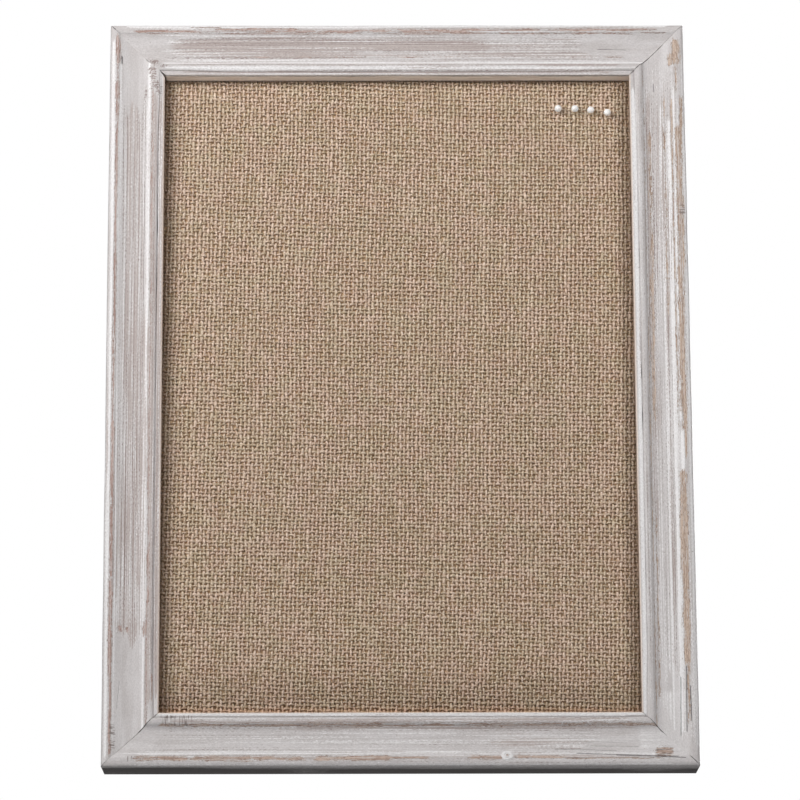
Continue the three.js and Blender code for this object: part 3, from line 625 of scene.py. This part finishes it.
class Rail:
    """One mitred length of moulding, its wear, and the shade and light painted on it.

    u runs along the rail, v across it from the outer edge and d down from the front.
    """

    def __init__(self, edge, seed, length, cracks):
        self.edge, self.seed, self.length = edge, seed, length
        self.across, self.depth, self.around, self.raw = moulding_outline()
        ragged = 0.5 + 1.9 * value_noise(self.across, self.across, 1.1, 400, 17)
        first, last = (
            np.interp(self.across, *zip(*CRACKS[corner])) * ragged * 0.7 + self.across for corner in cracks)
        t = np.linspace(0, 1, round(length / STATION_PITCH) + 1)[:, None]
        self.u = first + t * (length - first - last)
        self.v = np.zeros_like(self.u) + self.across
        self.d = np.zeros_like(self.u) + self.depth
        self.shown = (self.d < SHOWN_DEPTH) & ((self.v > 0.2) | (self.d < OUTER_ROUND))
        self.ends = np.minimum(self.u - self.v, length - self.v - self.u)

    def noise(self, cell_u, cell_v, number):
        return value_noise(self.u, self.v, cell_u, cell_v, self.seed + number)

    # Dark scratches, soiling and painted shade, each over the last
    def darken(self, amount):
        self.dirt_and_shade = np.maximum(self.dirt_and_shade, amount)

    def weather(self):
        """Lay on every mark, each over the ones before it."""
        self.rub_and_paint()
        self.darken_quirk()
        self.scratch()
        self.lump_paint()
        self.score()
        self.shade_edges()
        self.calm_brush()
        self.finish_sides()
        self.carve()
        if self.edge in KNOTS:
            self.plug_knot(*KNOTS[self.edge])

    def rub_and_paint(self):
        wear = streaks(RUBBED[self.edge], self.u, self.v) * (0.75 + 0.5 * self.noise(11, 40, 2))
        self.wear = wear - 0.3 * bell(wear, 0, 0.1)
        thin = streaks(THIN[self.edge], self.u, self.v, 14) + 0.3
        self.thin = THINNESS[self.edge] + thin * smoothstep(1, 16, self.ends) - 0.3
        # Thick paint, with painted highlights along the beads and lips and painted light at the lower
        # corners
        self.thick = streaks(THICK_PAINT_AND_HIGHLIGHTS[self.edge], self.u, self.v) * self.shown

    def darken_quirk(self):
        """Soiling and painted shade along the quirk, in patches away from the mitres."""
        quirk_darkness = QUIRK_DIRT_AND_SHADE[self.edge]
        quirk = bell(self.v, QUIRK, 0.3) * (self.d < 3)
        patchy = smoothstep(0.3, 0.7, self.noise(46, 400, 9)) * smoothstep(30, 110, self.ends)
        self.dirt_and_shade = quirk * np.clip(1.5 * quirk_darkness * patchy + (0.3 + quirk_darkness) * self.noise(9, 90, 3) - 0.1, 0, 1)

    def scratch(self):
        for start, v0, end, v1, half, strength in SCRATCHES[self.edge]:
            centre = v0 + (v1 - v0) * (self.u - start) / (end - start)
            run = window(self.u, start - 0.5, end + 0.5, 0.5)
            self.darken(strength * run * bell(self.v, centre, half) * self.shown)

    def lump_paint(self):
        self.crusty = np.zeros_like(self.u)
        for u0, v0, half_u, half_v, height in LUMPS.get(self.edge, ()):
            lump = bell(self.u, u0, half_u) * bell(self.v, v0, half_v) * self.shown
            self.d -= height * lump * (1.4 * self.noise(1.8, 1.6, 4) + 0.8 * self.noise(0.95, 0.7, 5) - 0.4)
            self.wear *= 1 - lump
            self.thin -= 0.5 * lump
            self.crusty = np.maximum(self.crusty, lump)

    def score(self):
        self.hatch = np.zeros_like(self.u)
        for start, end, v0, v1, strength in HATCHES.get(self.edge, ()):
            patch = window(self.u, start, end, 2) * window(self.v, v0, v1, 1) * self.shown
            self.hatch = np.maximum(self.hatch, strength * patch)

    def shade_edges(self):
        """Painted shade: a dark line along the outer edge, and dark in the groove under the lip."""
        self.darken(EDGE_SHADE_LINE[self.edge] * bell(self.v, 0.1, 0.5) * (self.d < 2.6))
        # Painted shade on the sight wall just under the lip
        groove = bell(self.d, LIP_GROOVE, 0.75) * (self.v > 30.9) * (self.d > 1.8)
        self.darken((0.45 + 0.4 * self.noise(12, 90, 8)) * groove)

    def calm_brush(self):
        """Fewer brush lines towards the mitres and on the smooth stretches."""
        ragged = 14 * (self.noise(25, 2.2, 6) - 0.5)
        live = np.where(self.shown, 0.12 + 0.88 * smoothstep(3, 20, self.ends + ragged), 1)
        smooth = streaks(SMOOTH[self.edge], self.u + ragged, self.v, 6) * self.shown
        self.live = live * (1 - smooth)
        self.thin -= 0.35 * smooth

    def finish_sides(self):
        """The pale lip; the sight wall, painted lit on the top rail and in shade on the others; soiling and
        painted shade on the outer side; and the raw back.
        """
        wall = SIGHT_WALL_SHADING[self.edge] * (self.v > 31)
        lip = LIP_CREAM[self.edge] * smoothstep(30.2, 31.2, self.v)
        # Lip tone, and the sight wall's painted light (top rail) and painted shade (other rails)
        self.cream_and_wall_shading = np.where(self.d > LIP_GROOVE, wall, lip) * (self.d < LEDGE_DEPTH)
        # Soiling and painted shade on the outer side, darker towards the back and darkest on the bottom
        # rail
        patches = 0.75 + 0.5 * value_noise(self.u, self.d, 38, 6, self.seed + 7)
        side_grime_and_shade = SIDE_GRIME_AND_SHADE[self.edge] * (0.62 + 0.32 * smoothstep(2, 12, self.d)) * patches
        side = (self.v < 1.45) & (self.d > OUTER_ROUND + 0.1)
        self.dirt_and_shade = np.where(side, side_grime_and_shade, self.dirt_and_shade)
        self.wear = np.where(self.shown, self.wear, UNRUBBED)
        self.wear = np.where(self.raw > 0, RAW_WOOD, self.wear)
        self.thin = np.where(self.shown, self.thin, 0)

    def carve(self):
        """Waves, dents, rubbed and scratched hollows, and the quirk cut by hand."""
        wobble, dents = self.noise(34, 400, 0) - 0.5, self.noise(9, 3.5, 1) - 0.5
        relief = 0.16 * wobble + 0.1 * dents + 0.12 * np.clip(self.wear, 0, 1) + 0.18 * self.dirt_and_shade
        self.d += relief * self.shown
        if self.edge in FILLED_QUIRK:
            filled = 1 - smoothstep(*FILLED_QUIRK[self.edge], self.u)
            self.d -= 0.6 * bell(self.v, QUIRK, 0.55) * filled * self.shown
        stray = QUIRK_STRAY[self.edge] * bell(self.v, QUIRK, 1.5) * smoothstep(4, 45, self.ends)
        self.v += np.where(self.v < 1.0, 0.2 * wobble, 0) + np.where(self.d < 2.2, stray, 0)

    def plug_knot(self, u0, v0, radius):
        """A round knot under thick paint, with a dark ring and a bare middle."""
        reach = np.hypot(self.u - u0, self.v - v0)
        disc = (1 - smoothstep(radius - 0.5, radius + 0.3, reach)) * self.shown
        ring = bell(reach, radius * 0.5, 0.45) * self.shown
        self.d -= 0.6 * disc - 0.35 * ring
        self.wear = np.where(disc > 0.02, UNRUBBED, self.wear)
        self.wear = np.where(self.shown & (reach < 1), 0.6, self.wear)
        self.thin -= 0.8 * disc
        self.thick = np.maximum(self.thick, 1.2 * disc)
        self.darken(0.5 * ring * disc)

    def corner_map(self, quads):
        """Each corner's place on the map; the last strip closes at the map's far edge."""
        closing = np.hypot(self.across[0] - self.across[-1], self.depth[0] - self.depth[-1])
        places = channels(self.u / self.length, self.around / (self.around[-1] + closing))[quads]
        sides = self.u.shape[1]
        wraps = (quads % sides == sides - 1).any(1, keepdims=True) & (quads % sides == 0)
        places[..., 1] = np.where(wraps, 1, places[..., 1])
        return places

    def piece(self, name, origin, along, inward):
        rings, sides = self.u.shape
        index = np.arange(rings * sides).reshape(rings, sides)
        quads = tube_walls(index)
        if np.dot(np.cross(along, inward), INTO_WALL) > 0:
            quads = quads[:, ::-1]
        points = origin + self.u[..., None] * along + self.v[..., None] * inward
        points = (points + self.d[..., None] * INTO_WALL).reshape(-1, 3)
        vectors = {
            "grain": channels(self.u, self.around, self.seed * 7.3),
            # The third channel holds dark scratches, soiling and painted shade
            "paint": channels(self.wear, self.thin, self.dirt_and_shade),
            "tint": channels(self.cream_and_wall_shading, self.thick, self.hatch),
            "calm": channels(self.live, self.crusty, np.where(self.shown, ROSY[self.edge], 0)),
        }
        made = quad_piece(name + "_moulding", points, quads, vectors, self.corner_map(quads))
        close_ends(made, index[0], index[-1])
        made.data.set_sharp_from_angle(angle=SHARP_ANGLE)
        return made


def close_ends(piece, first, last):
    shape = bmesh.new()
    shape.from_mesh(piece.data)
    shape.verts.ensure_lookup_table()
    for ring in (first, last):
        shape.faces.new([shape.verts[i] for i in ring])
    bmesh.ops.recalc_face_normals(shape, faces=shape.faces)
    shape.to_mesh(piece.data)
    shape.free()


def make_moulding():
    wood = whitewash()
    down, right, left, up = (0, 0, -1), (1, 0, 0), (-1, 0, 0), (0, 0, 1)
    top_left, top_right = (-HALF_WIDTH, FRONT_Y, BOARD_TOP), (HALF_WIDTH, FRONT_Y, BOARD_TOP)
    bottom_left = (-HALF_WIDTH, FRONT_Y, BOARD_BOTTOM)
    for name, seed, length, origin, along, inward, cracks in (
        ("top_rail", 11, 2 * HALF_WIDTH, top_left, right, down, ("top_left", "top_right")),
        ("bottom_rail", 12, 2 * HALF_WIDTH, bottom_left, right, up, ("bottom_left", "bottom_right")),
        ("left_stile", 13, BOARD_HEIGHT, top_left, down, right, ("top_left", "bottom_left")),
        ("right_stile", 14, BOARD_HEIGHT, top_right, down, left, ("top_right", "bottom_right")),
    ):
        rail = Rail(name.split("_")[0], seed, length, cracks)
        rail.weather()
        piece = rail.piece(name, np.array(origin), np.array(along), np.array(inward))
        dress(piece, wood, "whitewashed_wood", name)


# Burlap

WARP_PITCH = 2.31
WEFT_PITCH = 2.44
# Swing over and under, half width and front thickness of a yarn, and its twist
WARP_YARN = (0.42, 0.68, 0.54, 1.1)
WEFT_YARN = (0.64, 0.66, 0.52, 0.9)
YARN_BACK = 0.2
# Round the yarn: rounded towards the front, a single ridge at the back
YARN_TURN = np.radians([0, 90, 180, 225, 270, 315])
YARN_SIDES = len(YARN_TURN)
STEPS_PER_CROSSING = 3
WARP_BAND = 31
WEFT_BAND = 42
WEAVE_Y = PANEL_LOW[1] - 0.7
EDGE_ROOM = 1
NEEDLE_ROOM = 1.35
NEEDLE_REACH = 1.6
WARP_SLANT = 0.0165
WEFT_SLANT = 0.034
# Keeps the cloth clear of the lattice's edge
NOISE_X = 200
NOISE_Z = 300


def weave_drift(x, z):
    """How far the cloth strays from a true grid."""
    u, v = x + NOISE_X, z + NOISE_Z
    dx = 1.4 * (value_noise(u, v, 70, 90, 51) - 0.5) + 0.3 * (value_noise(u, v, 17, 23, 52) - 0.5)
    dz = 1.6 * (value_noise(u, v, 80, 60, 53) - 0.5) + 0.3 * (value_noise(u, v, 21, 15, 54) - 0.5)
    return dx + WARP_SLANT * z, dz - WEFT_SLANT * x


def under_lip(x, z):
    """1 where the moulding's lip presses on the cloth."""
    return np.maximum(smoothstep(SIGHT_X - 0.6, SIGHT_X + 0.4, np.abs(x)),
                      smoothstep(SIGHT_Z - 0.6, SIGHT_Z + 0.4, np.abs(z)))


def painted_edge_shade(x, z):
    """Painted shade on the cloth in the crease along the frame and in bands beside it, stronger on the
    right; the cloth is also darker towards the bottom.
    """
    beside, above = SIGHT_X - np.abs(x), SIGHT_Z + z
    crease = 0.62 * (1 - smoothstep(0.6, 2.4, np.minimum(beside, SIGHT_Z - np.abs(z))))
    band = np.where(x < 0, 0.08, 0.26) * (1 - smoothstep(3, 8.5, np.minimum(beside, above)))
    foot = 0.14 * (1 - smoothstep(10, 34, above))
    return np.maximum(np.maximum(crease, band), foot)


def part_round_pins(x, z, vertical):
    """Yarns pushed aside where a needle passes between them."""
    for pin in PINS:
        away_x, away_z = x - pin[0], z - pin[2]
        across, along = (away_x, away_z) if vertical else (away_z, away_x)
        room = np.clip(NEEDLE_ROOM - np.abs(across), 0, None)
        push = np.sign(across) * (room * bell(along, 0, NEEDLE_REACH))
        x, z = (x + push, z) if vertical else (x, z + push)
    return x, z


def yarn_faces(count, rings, vertical):
    """Walls and end caps of a band of tubes, and their corners' places on the map."""
    index = np.arange(count * rings * YARN_SIDES).reshape(count, rings, YARN_SIDES)
    walls = tube_walls(index)
    caps = [index[:, ring][:, half] for half in ([0, 1, 2, 3], [0, 3, 4, 5]) for ring in (0, -1)]
    if vertical:
        walls = walls[:, ::-1]
    quads = np.concatenate([walls, *caps])
    row_share = 0.8
    rows = np.arange(count)[:, None, None] + 0.02 + row_share * np.arange(YARN_SIDES) / YARN_SIDES
    places = channels(np.linspace(0.002, 0.998, rings)[:, None], rows / count)[quads]
    wraps = (walls % YARN_SIDES == 0) & (walls % YARN_SIDES == YARN_SIDES - 1).any(1, keepdims=True)
    places[:len(walls), :, 1] += np.where(wraps, row_share / count, 0)
    return quads, places


def yarns(name, first, count, total, crossings, vertical):
    """A band of parallel yarns passing over and under the crossing ones, as one mesh of tubes."""
    pitch, cross = (WEFT_PITCH, WARP_PITCH) if vertical else (WARP_PITCH, WEFT_PITCH)
    swing, wide, thick, twist = WARP_YARN if vertical else WEFT_YARN
    number = np.arange(first, first + count)[:, None]
    rings = STEPS_PER_CROSSING * crossings + 1
    step = np.broadcast_to(np.arange(rings) / STEPS_PER_CROSSING - 0.5, (count, rings))
    travel = (step - (crossings - 1) / 2) * pitch
    rng = np.random.default_rng(91 if vertical else 92)
    draws = rng.random(total), rng.normal(1, 0.05, total), rng.normal(0, 0.06, total)
    tone, girth, spread = (draw[first:first + count, None] for draw in draws)

    def vary(cell, seed):
        return value_noise(travel + number * 977, number + 0 * travel, cell, 1e6, seed + 7 * first) - 0.5

    own = spread + 0.3 * vary(13, 61) + 0.7 * vary(2.4, 63)
    slub = 0.4 * vary(11, 62) + 1.2 * vary(2.4, 64)
    lift = 1 + 1.1 * vary(2.4, 65)
    crown = np.cos(np.pi * (step + number)) * (1 if vertical else -1)
    offset = (number - (total - 1) / 2) * cross + own
    x, z = (offset, travel) if vertical else (travel, offset)
    dx, dz = weave_drift(x, z)
    x, z = x + dx, z + dz
    press = 1 - 0.5 * under_lip(x, z)
    # Painted shade on the cloth along the frame
    edge_shade = painted_edge_shade(x, z)
    # Painted warm bounce light on the cloth just above the bottom rail's lip
    warm = 0.7 * (1 - smoothstep(1.5, 7, SIGHT_Z + z))
    x = np.clip(x, COVER_LOW[0] + EDGE_ROOM, COVER_HIGH[0] - EDGE_ROOM)
    z = np.clip(z + CENTRE_Z, COVER_LOW[2] + EDGE_ROOM, COVER_HIGH[2] - EDGE_ROOM)
    x, z = part_round_pins(x, z, vertical)
    y = WEAVE_Y - swing * lift * crown * press
    half_width = wide * girth * (1 + 0.5 * slub) * (1 + 0.1 * crown)
    front = thick * girth * (1 + 0.3 * slub) * press
    side = half_width[..., None] * np.cos(YARN_TURN)
    rise = np.where(np.sin(YARN_TURN) > 0, YARN_BACK, front[..., None]) * np.sin(YARN_TURN)
    slope = -np.gradient(y, axis=1) / np.gradient(travel, axis=1)
    lean = 1 / np.sqrt(1 + slope ** 2)
    ahead = rise * (slope * lean)[..., None]
    ax, az = (side, ahead) if vertical else (ahead, side)
    points = channels(x[..., None] + ax, y[..., None] + rise * lean[..., None], z[..., None] + az)
    # Painted shade where the yarn dips under a crossing yarn and along its sides
    sunk_shade = np.maximum(smoothstep(-0.1, -0.8, crown)[..., None], 0.5 * np.cos(YARN_TURN) ** 2)
    vectors = {
        "yarn": channels(
            (travel + 40 * number)[..., None], tone[..., None], YARN_TURN + twist * travel[..., None]),
        "hollow": channels(sunk_shade, edge_shade[..., None], warm[..., None]),
    }
    quads, places = yarn_faces(count, rings, vertical)
    return quad_piece(name, points, quads, vectors, places)


FIBRE_JOINTS = 9
FIBRE_LIFT = 0.9
FIBRE_PIN_ROOM = 5


def loose_fibres(name, count, shortest, longest, radius, curl, seed):
    """Short strands lying on the weave, as one mesh of thin square tubes."""
    rng = np.random.default_rng(seed)
    length = rng.uniform(shortest, longest, count)[:, None]
    heading = rng.uniform(0, 2 * np.pi, count)[:, None]
    heading = heading + np.cumsum(rng.normal(0, curl, (count, FIBRE_JOINTS)), 1)
    stride = length / (FIBRE_JOINTS - 1)
    x = rng.uniform(-SIGHT_X + 4, SIGHT_X - 4, count)[:, None] + np.cumsum(stride * np.cos(heading), 1)
    z = rng.uniform(-SIGHT_Z + 4, SIGHT_Z - 4, count)[:, None] + np.cumsum(stride * np.sin(heading), 1)
    x = np.clip(x, -SIGHT_X + EDGE_ROOM, SIGHT_X - EDGE_ROOM)
    z = np.clip(z, -SIGHT_Z + EDGE_ROOM, SIGHT_Z - EDGE_ROOM) + CENTRE_Z
    y = WEAVE_Y - FIBRE_LIFT - rng.uniform(0, 0.25, (count, FIBRE_JOINTS))
    clear = np.min([np.hypot(x - pin[0], z - pin[2]).min(1) for pin in PINS], 0) > FIBRE_PIN_ROOM
    x, y, z, heading = x[clear], y[clear], z[clear], heading[clear]
    side = np.stack([-np.sin(heading), 0 * heading, np.cos(heading)], -1) * radius
    front = np.array([0, radius, 0])
    path = np.stack([x, y, z], -1)
    points = np.stack([path - side, path - front, path + side, path + front], 2)
    index = np.arange(points.size // 3).reshape(points.shape[:3])
    walls = tube_walls(index)[:, [0, 3, 2, 1]]
    quads = np.concatenate([walls, index[:, 0], index[:, -1, ::-1]])
    strand = np.arange(len(x))[:, None, None]
    joint = np.arange(FIBRE_JOINTS)[:, None]
    across = (strand + np.array([0.1, 0.35, 0.6, 0.85])) / len(x)
    places = channels(np.linspace(0.01, 0.99, FIBRE_JOINTS)[:, None], across)
    yarn = channels(joint + 3 * strand, rng.random((len(x), 1, 1)), np.arange(4))
    # The fibres carry no painted shade or bounce light
    return quad_piece(name, points.reshape(-1, 3), quads, {"yarn": yarn, "hollow": 0 * yarn}, places[quads])


GROUND_INSET = 0.45
GROUND_COLUMNS = 62
GROUND_ROWS = 88
GROUND_LIFT = 0.06
HEM_LIFT = 0.35
HEM_TURN = 0.6
HEM_REACH = 24.5


def cloth_ground():
    """The cloth's fuzzy ground, stretched over the panel and turned round its edges to the back."""
    half_x = COVER_SIZE[0] / 2 - GROUND_INSET
    half_z = COVER_SIZE[2] / 2 - GROUND_INSET
    columns = np.linspace(-half_x, half_x, GROUND_COLUMNS)
    rows = np.linspace(-half_z, half_z, GROUND_ROWS)
    gx, gz = np.meshgrid(columns, rows, indexing="ij")
    gy = PANEL_LOW[1] - GROUND_LIFT - 0.04 * value_noise(gx + NOISE_X, gz + NOISE_Z, 9, 9, 71)
    points = [channels(gx, gy, gz + CENTRE_Z)]
    total = GROUND_COLUMNS * GROUND_ROWS
    index = np.arange(total).reshape(GROUND_COLUMNS, GROUND_ROWS)
    quads = [channels(index[:-1, :-1], index[1:, :-1], index[1:, 1:], index[:-1, 1:])]
    rim = np.concatenate([index[:-1, 0], index[-1, :-1], index[:0:-1, -1], index[0, :0:-1]])
    loop = points[0][rim]
    hem_y = PANEL_HIGH[1] + HEM_LIFT
    for y, shrink in ((hem_y - HEM_TURN, 0), (hem_y, 0.5), (hem_y, HEM_REACH)):
        scale = np.array([(half_x - shrink) / half_x, 1, (half_z - shrink) / half_z])
        ring = loop * scale + np.array([0, 0, CENTRE_Z * (1 - scale[2])])
        ring[:, 1] = y
        points.append(ring)
        fresh = np.arange(total, total + len(rim))
        quads.append(channels(rim, fresh, np.roll(fresh, -1), np.roll(rim, -1)))
        rim = fresh
        total += len(rim)
    points, quads = np.concatenate(points), np.concatenate(quads)
    uv = (points[quads][..., [0, 2]] - [COVER_LOW[0], COVER_LOW[2]]) / [2 * half_x + 1, 2 * half_z + 1]
    return quad_piece("burlap_ground", points, quads, {}, uv)


def make_cloth():
    warp_total = round((COVER_SIZE[0] - 2 * EDGE_ROOM) / WARP_PITCH)
    weft_total = round((COVER_SIZE[2] - 2 * EDGE_ROOM) / WEFT_PITCH)
    jute_warp = jute("jute_warp", (0.695, 0.565, 0.4), (0.785, 0.57, 0.455))
    jute_weft = jute("jute_weft", (0.585, 0.47, 0.31), (0.67, 0.47, 0.36))
    woven = []
    for kind, total, crossings, share, vertical, material in (
        ("warp", warp_total, weft_total, WARP_BAND, True, jute_warp),
        ("weft", weft_total, warp_total, WEFT_BAND, False, jute_weft),
    ):
        for band, first in enumerate(range(0, total, share)):
            count = min(share, total - first)
            piece = yarns(f"burlap_{kind}_{band + 1}", first, count, total, crossings, vertical)
            woven.append(dress(piece, material, "burlap"))
    straw_fibre = jute("jute_fibre", (0.8, 0.68, 0.48), (0.84, 0.68, 0.53))
    shive = jute("jute_shive", (0.2, 0.12, 0.06), (0.26, 0.14, 0.085))
    fuzz = loose_fibres("burlap_fuzz", 170, 3, 11, radius=0.07, curl=0.35, seed=81)
    shives = loose_fibres("burlap_shives", 34, 1.4, 3.2, radius=0.2, curl=0.08, seed=82)
    woven += [dress(fuzz, straw_fibre, "burlap"), dress(shives, shive, "burlap")]
    cloth = dress(cloth_ground(), ground_cloth(), "burlap", "burlap_cover")


# Hardware


def dress_hardware():
    """Materials for the CAD solids that show as they are, by the start of their names."""
    steel = metal("zinc_steel", (0.6, 0.61, 0.62), (0.42, 0.43, 0.44), 0.35)
    brass = metal("brass_plate", (0.72, 0.56, 0.27), (0.52, 0.39, 0.18), 0.34)
    softboard = pressed_fibre("softboard", (0.52, 0.42, 0.29), (0.3, 0.23, 0.15), 240, 0.95)
    hardboard = pressed_fibre("hardboard", (0.22, 0.135, 0.075), (0.13, 0.078, 0.045), 420, 0.6)
    looks = {
        "pin_panel": (softboard, "softboard"),
        "backing_board": (hardboard, "hardboard"),
        "sawtooth_hanger": (brass, "brass_plate"),
        "turn_button": (brass, "brass_plate"),
        "turn_screw": (steel, "zinc_steel"),
        "hanger_nail": (steel, "zinc_steel"),
        "v_nail": (steel, "zinc_steel"),
        "pin_needle": (steel, "needle_steel"),
        "wall_bumper": (rubber(), "rubber"),
        "pin_head": (pearl(), "pearl"),
    }
    for name, node in frame["nodes"].items():
        for start, (material, slot) in looks.items():
            if name.startswith(start):
                dress(node, material, slot)


# Stage, in metres

FLOOR_Z = -2.6
FLOOR_REACH = 14
FLOOR_COLOUR = (0.82, 0.82, 0.81, 1)
FLOOR_GLOW = 0.55
WHITE = (1, 1, 1, 1)
AMBIENT_COLOUR = (0.97, 0.985, 1, 1)
AMBIENT_STRENGTH = 0.06
MIDDLE = Vector((0, FRONT_Y, CENTRE_Z)) * MM


def seen_directly(tree):
    """1 for what the camera sees, straight or in glossy things, and 0 for light that falls on things."""
    rays = tree.nodes.new("ShaderNodeLightPath")
    seen = rays.outputs["Is Camera Ray"]
    for kind in ("Is Glossy Ray", "Is Transmission Ray"):
        either = tree.nodes.new("ShaderNodeMath")
        either.operation = "MAXIMUM"
        tree.links.new(seen, either.inputs[0])
        tree.links.new(rays.outputs[kind], either.inputs[1])
        seen = either.outputs[0]
    return seen


def lay_floor():
    corners = [(x * FLOOR_REACH, y * FLOOR_REACH, FLOOR_Z) for x, y in ((-1, -1), (1, -1), (1, 1), (-1, 1))]
    mesh = bpy.data.meshes.new("floor")
    mesh.from_pydata(corners, [], [(0, 1, 2, 3)])
    floor = add_object("floor", mesh)
    look = Look("pale_floor", Roughness=0.9, Base_Color=FLOOR_COLOUR, Emission_Color=WHITE)
    glow = look.math("MULTIPLY", seen_directly(look.tree), FLOOR_GLOW)
    look.set(look.shader.inputs["Emission Strength"], glow)
    mesh.materials.append(look.material)


def soft_light(name, offset, size, power, colour, aim=(0, 0, 0)):
    """A round area lamp, placed and aimed from the middle of the board's front."""
    data = bpy.data.lights.new(name, "AREA")
    data.shape = "DISK"
    data.size = size
    data.energy = power
    data.color = colour
    lamp = add_object(name, data)
    lamp.location = MIDDLE + Vector(offset)
    lamp.rotation_mode = "QUATERNION"
    lamp.rotation_quaternion = (Vector(aim) - Vector(offset)).to_track_quat("-Z", "Y")


def light_studio():
    warm, cool, plain = (1, 0.99, 0.98), (0.97, 0.985, 1), (1, 1, 1)
    soft_light("left", (-0.82, -0.94, 0.51), size=0.98, power=18.7, colour=warm, aim=(1.18, 0, 0.61))
    soft_light("right", (0.95, -0.875, 0.52), size=0.54, power=7, colour=warm)
    soft_light("below", (0, -0.75, -1.75), size=1.3, power=6.7, colour=cool)
    soft_light("behind", (1.2, 2.6, 0.9), size=1.5, power=70, colour=plain)


def surround():
    """A white backdrop that sheds only a little light."""
    world = bpy.data.worlds.new("studio")
    scene.world = world
    world.use_nodes = True
    tree = world.node_tree
    ambient = tree.nodes["Background"]
    ambient.inputs["Color"].default_value = AMBIENT_COLOUR
    ambient.inputs["Strength"].default_value = AMBIENT_STRENGTH
    backdrop = tree.nodes.new("ShaderNodeBackground")
    backdrop.inputs["Color"].default_value = WHITE
    either = tree.nodes.new("ShaderNodeMixShader")
    tree.links.new(seen_directly(tree), either.inputs[0])
    tree.links.new(ambient.outputs[0], either.inputs[1])
    tree.links.new(backdrop.outputs[0], either.inputs[2])
    tree.links.new(either.outputs[0], tree.nodes["World Output"].inputs["Surface"])


# Camera: below the board's middle and a touch to the left, looking up at it

CAMERA_PLACE = Vector((-0.0330, -3.27749, -1.52771))
CAMERA_AIM = Vector((0.00068, -0.0224, -0.21941))
CAMERA_ROLL = math.radians(-0.2996)
CAMERA_SENSOR = 36
CAMERA_LENS = 280.5
CAMERA_FAR = 100


def place_camera():
    data = bpy.data.cameras.new("camera")
    data.sensor_width = CAMERA_SENSOR
    data.lens = CAMERA_LENS
    data.clip_end = CAMERA_FAR
    camera = add_object("camera", data)
    camera.location = CAMERA_PLACE
    camera.rotation_mode = "QUATERNION"
    level = (CAMERA_AIM - CAMERA_PLACE).to_track_quat("-Z", "Y")
    camera.rotation_quaternion = level @ Quaternion((0, 0, 1), CAMERA_ROLL)
    scene.camera = camera


make_moulding()
make_cloth()
dress_hardware()
lay_floor()
light_studio()
surround()
place_camera()
